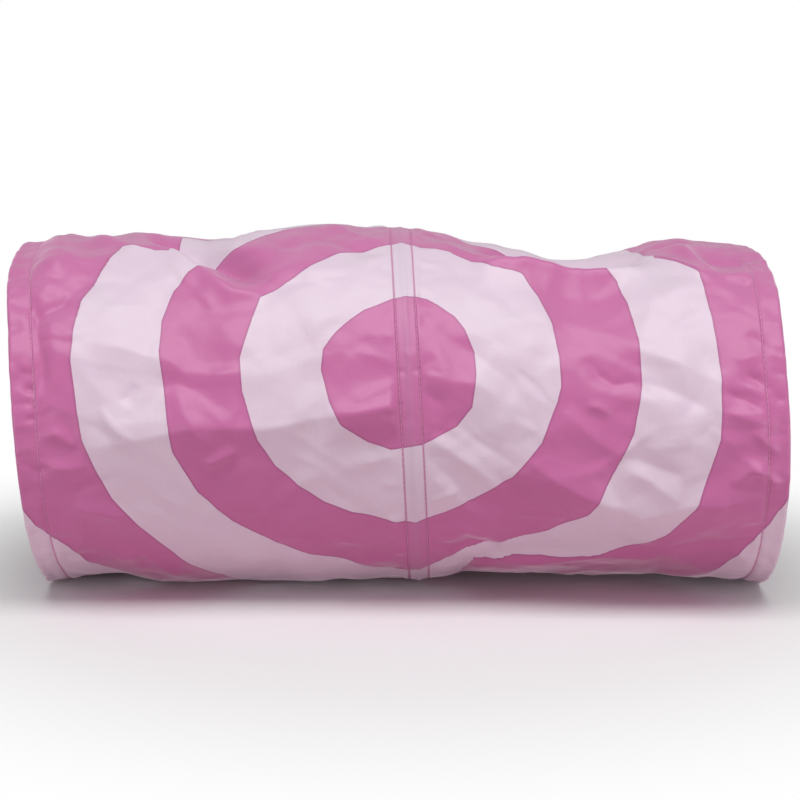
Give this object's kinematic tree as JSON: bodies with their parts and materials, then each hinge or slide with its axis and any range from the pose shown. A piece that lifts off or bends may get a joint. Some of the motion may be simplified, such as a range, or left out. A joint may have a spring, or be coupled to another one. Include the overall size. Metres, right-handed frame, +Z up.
{
  "type": "cat tunnel",
  "caption": "Collapsible crinkle-cloth cat tunnel, open at both mouths, held round by spring-steel hoops and printed with a pink bull's-eye of concentric rings.",
  "frame": {"origin": "on the floor under the middle hoop, at the centre of the tunnel's footprint", "axes": "+X along the tunnel from the left mouth to the right one, -Y towards the front with the bull's-eye, +Z up"},
  "size_m": [0.5, 0.2514, 0.2484],
  "materials": {
    "printed_taffeta": "thin crinkled polyester taffeta with a satin sheen, printed with concentric pink and pale lilac-pink rings 55 mm wide",
    "pale_taffeta": "plain pale lilac-pink polyester taffeta",
    "crinkle_film": "clear crackling plastic film",
    "spring_steel": "drawn spring-steel wire",
    "crimped_sleeve": "plated crimp sleeve",
    "pink_thread": "matte polyester sewing thread"
  },
  "bodies": {
    "middle": {"middle_hoop": "spring_steel", "middle_hoop_ferrule": "crimped_sleeve", "middle_band": "printed_taffeta", "middle_casing_tape": "pale_taffeta", "middle_stitching_left": "pink_thread", "middle_stitching_right": "pink_thread", "left_shell": "printed_taffeta", "left_crinkle_film": "crinkle_film", "left_lining": "pale_taffeta", "left_seam_tape": "pale_taffeta", "right_shell": "printed_taffeta", "right_crinkle_film": "crinkle_film", "right_lining": "pale_taffeta", "right_seam_tape": "pale_taffeta"},
    "left_end": {"left_hem": "printed_taffeta", "left_hem_stitching": "pink_thread", "left_hoop": "spring_steel", "left_hoop_ferrule": "crimped_sleeve"},
    "right_end": {"right_hem": "printed_taffeta", "right_hem_stitching": "pink_thread", "right_hoop": "spring_steel", "right_hoop_ferrule": "crimped_sleeve"}
  },
  "joints": [
    {"name": "left_collapse", "type": "slide", "parent": "middle", "child": "left_end", "axis": [1, 0, 0], "range_m": [0, 0.215], "deforming": ["left_shell", "left_crinkle_film", "left_lining", "left_seam_tape"]},
    {"name": "right_collapse", "type": "slide", "parent": "middle", "child": "right_end", "axis": [-1, 0, 0], "range_m": [0, 0.215], "deforming": ["right_shell", "right_crinkle_film", "right_lining", "right_seam_tape"]}
  ]
}
